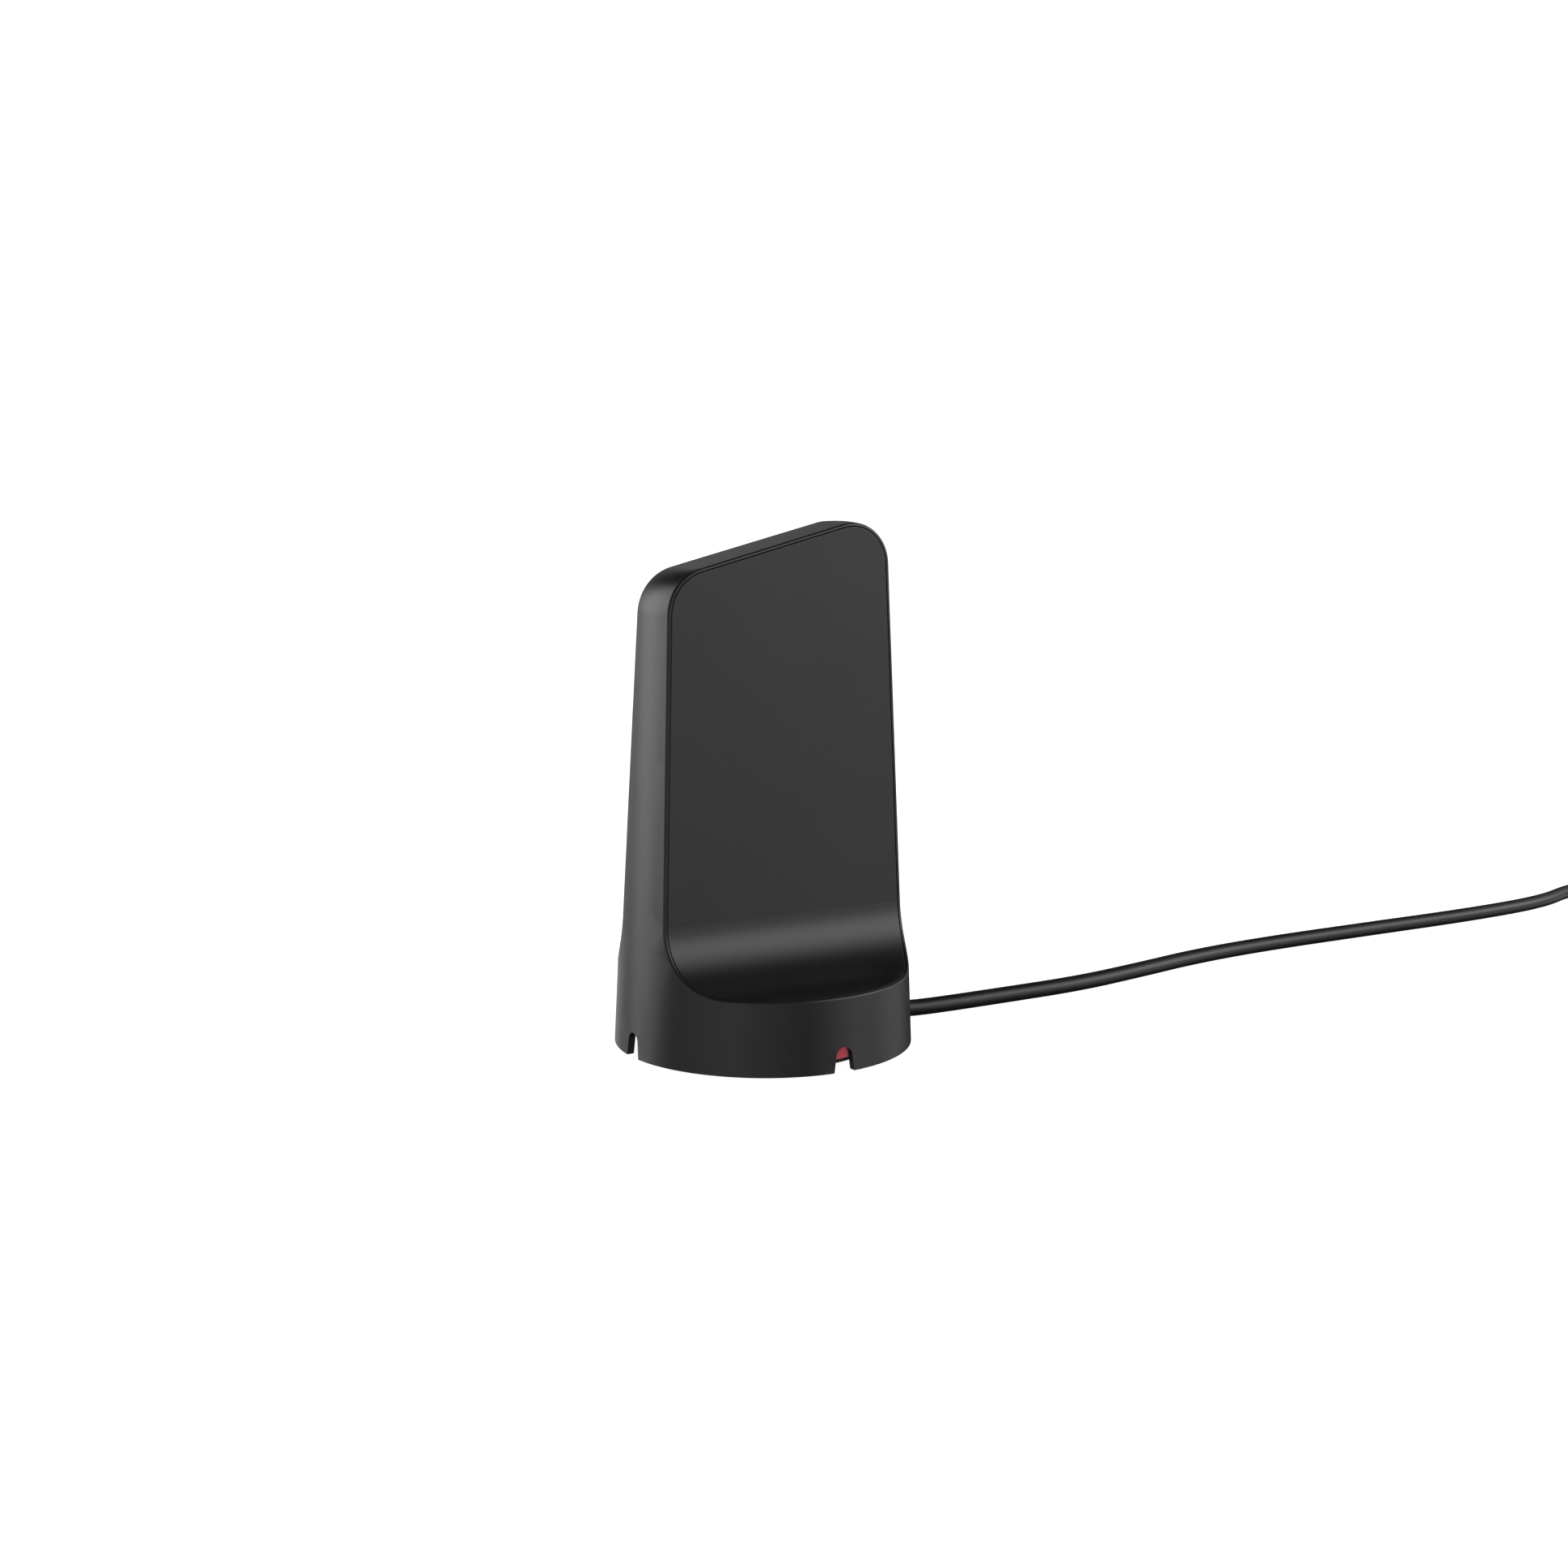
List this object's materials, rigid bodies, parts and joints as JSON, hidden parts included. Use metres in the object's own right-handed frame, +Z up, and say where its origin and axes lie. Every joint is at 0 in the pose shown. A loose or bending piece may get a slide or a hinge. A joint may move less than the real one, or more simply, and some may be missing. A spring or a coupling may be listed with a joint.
{
  "type": "desktop wireless charging stand",
  "caption": "Upright charging stand: a slanted-top slab with scooped shelves on a round drum base, rim notches round a cord-storage hub, and a supply cord with plug.",
  "frame": {"origin": "on the floor, on the axis of the drum, at the underside of the rubber foot", "axes": "+Z up, -Y towards the front face, +X towards the high side of the slanted top, where the cord leaves"},
  "size_m": [0.4757, 0.0885, 0.139],
  "materials": {
    "casing": "fine moulded grain, charcoal",
    "hub": "smooth moulded, crimson",
    "foot_rubber": "matt black rubber",
    "relief_rubber": "matt black rubber",
    "ballast": "zinc-plated steel, satin",
    "screw": "zinc-plated, satin",
    "carrier": "natural grey moulded plastic",
    "copper": "enamelled copper wire",
    "ferrite": "sintered ferrite, matt",
    "spreader": "rolled sheet, satin",
    "board": "green solder mask on laminate",
    "chip": "black moulded epoxy",
    "ceramic": "tan ceramic",
    "can": "drawn aluminium can",
    "connector": "natural nylon",
    "lead_sheath": "black sheath",
    "wire": "red insulated wire",
    "cord_jacket": "smooth black jacket, satin",
    "tie": "black hook-and-loop strap",
    "plug_mould": "satin black overmould",
    "plug_steel": "nickel-plated shell",
    "plug_insulator": "white insulator",
    "contact": "gold-plated contact"
  },
  "bodies": {
    "root": {"housing": "casing", "front_cover": "casing", "cord_hub": "hub", "rubber_foot": "foot_rubber", "ballast_weight": "ballast", "hub_screws": "screw", "coil_carrier": "carrier", "carrier_screws": "screw", "upper_coil": "copper", "lower_coil": "copper", "upper_ferrite": "ferrite", "lower_ferrite": "ferrite", "heat_spreader": "spreader", "coil_leads": "wire", "thermistor": "ceramic", "main_board": "board", "board_screws": "screw", "control_chips": "chip", "bridge_transistors": "chip", "tuning_capacitors": "ceramic", "supply_capacitors": "can", "supply_inductor": "chip", "lead_socket": "connector", "lead_plug": "connector", "input_lead": "lead_sheath", "strain_relief": "relief_rubber", "cord_clamp": "carrier", "clamp_screws": "screw", "cord": "cord_jacket", "cord_winding": "cord_jacket", "cord_tie": "tie", "cord_tail": "cord_jacket", "plug_body": "plug_mould", "plug_shell": "plug_steel", "plug_tongue": "plug_insulator", "plug_contacts": "contact"}
  },
  "joints": []
}
